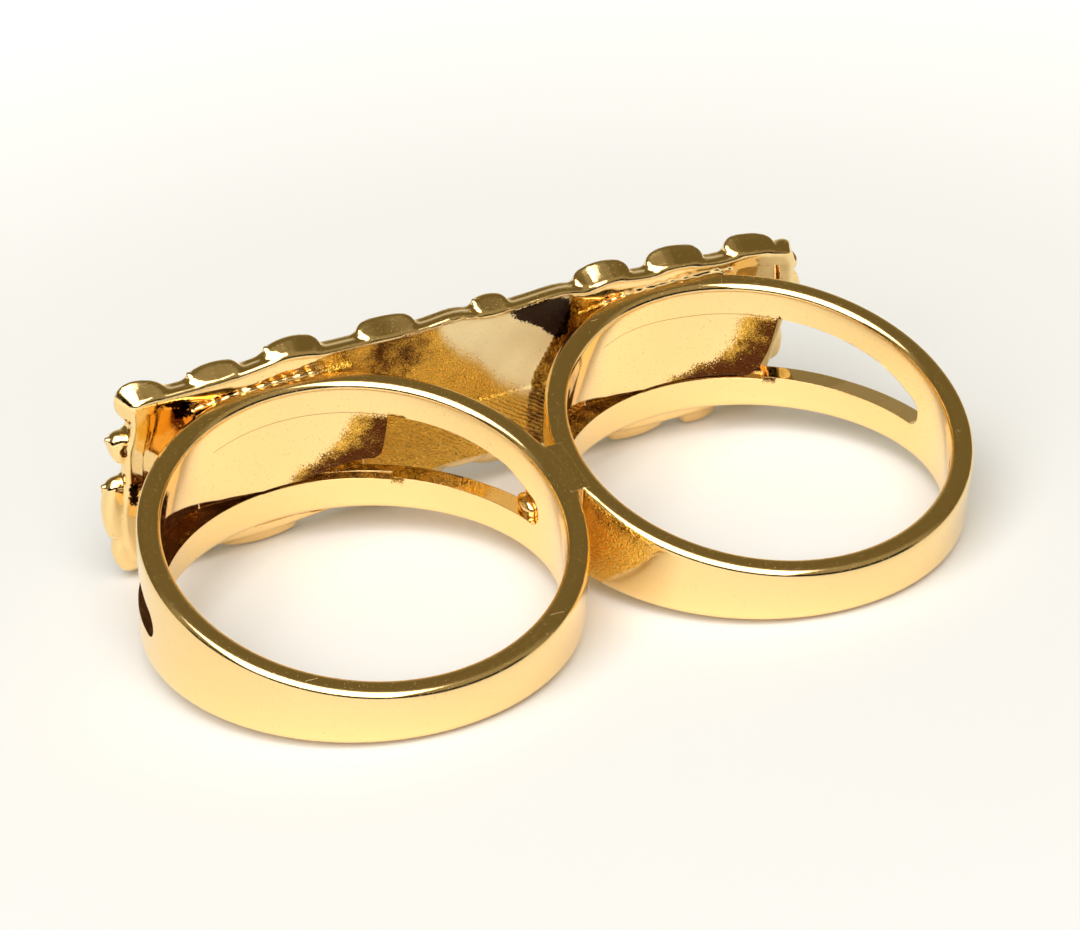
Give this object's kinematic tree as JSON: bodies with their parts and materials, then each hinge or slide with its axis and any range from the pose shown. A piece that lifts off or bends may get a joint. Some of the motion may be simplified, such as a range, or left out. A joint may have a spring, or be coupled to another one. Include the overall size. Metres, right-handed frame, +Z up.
{
  "type": "two finger ring",
  "caption": "Gold-coloured ring for adjacent fingers: tapering bands joined side by side, slotted shoulders and a long plate with a lumpy relief edge.",
  "frame": {"origin": "centre of the part's box on the surface it lies on", "axes": "+X along the plate from finger to finger, +Y from the palm side of the bands to the plate, +Z up; the finger holes lean from Z by the rest tilt, their tops toward -Y"},
  "size_m": [0.0414, 0.0224, 0.0112],
  "materials": {
    "gold": "polished gold plating, as-cast and grainy in the recesses"
  },
  "bodies": {
    "root": {"two_finger_ring": "gold"}
  },
  "joints": []
}
